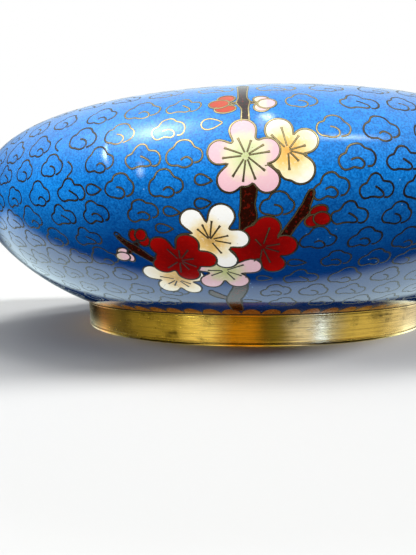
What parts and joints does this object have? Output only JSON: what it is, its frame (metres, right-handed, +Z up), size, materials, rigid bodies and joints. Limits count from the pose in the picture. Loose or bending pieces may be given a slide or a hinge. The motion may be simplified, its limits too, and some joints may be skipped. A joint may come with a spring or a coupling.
{
  "type": "cloisonne bowl",
  "caption": "Low round-bellied enamelled bowl with an in-turned shoulder, open mouth, brass lip and brass foot ring.",
  "frame": {"origin": "centre of the foot ring's underside, on the surface that the bowl stands on", "axes": "+Z up along the bowl's axis of revolution; -Y faces the flower spray of the pictured side"},
  "size_m": [0.2032, 0.2032, 0.0739],
  "materials": {
    "blue_enamel": "glossy mottled blue vitreous enamel on copper, with gilt wires level with it",
    "foot_brass": "brushed brass, lightly tarnished",
    "lip_brass": "polished brass, worn along its crown",
    "gilt_wire": "gilt copper wires between the enamels, polished level with them",
    "flower_enamel": "glossy enamels of the blossoms and buds, in pink, red, white and yellow",
    "bark_enamel": "glossy dark brown enamel of the branches and the scalloped border"
  },
  "bodies": {
    "root": {"enamelled_shell": "blue_enamel", "foot_ring": "foot_brass", "lip_band": "lip_brass"}
  },
  "joints": []
}
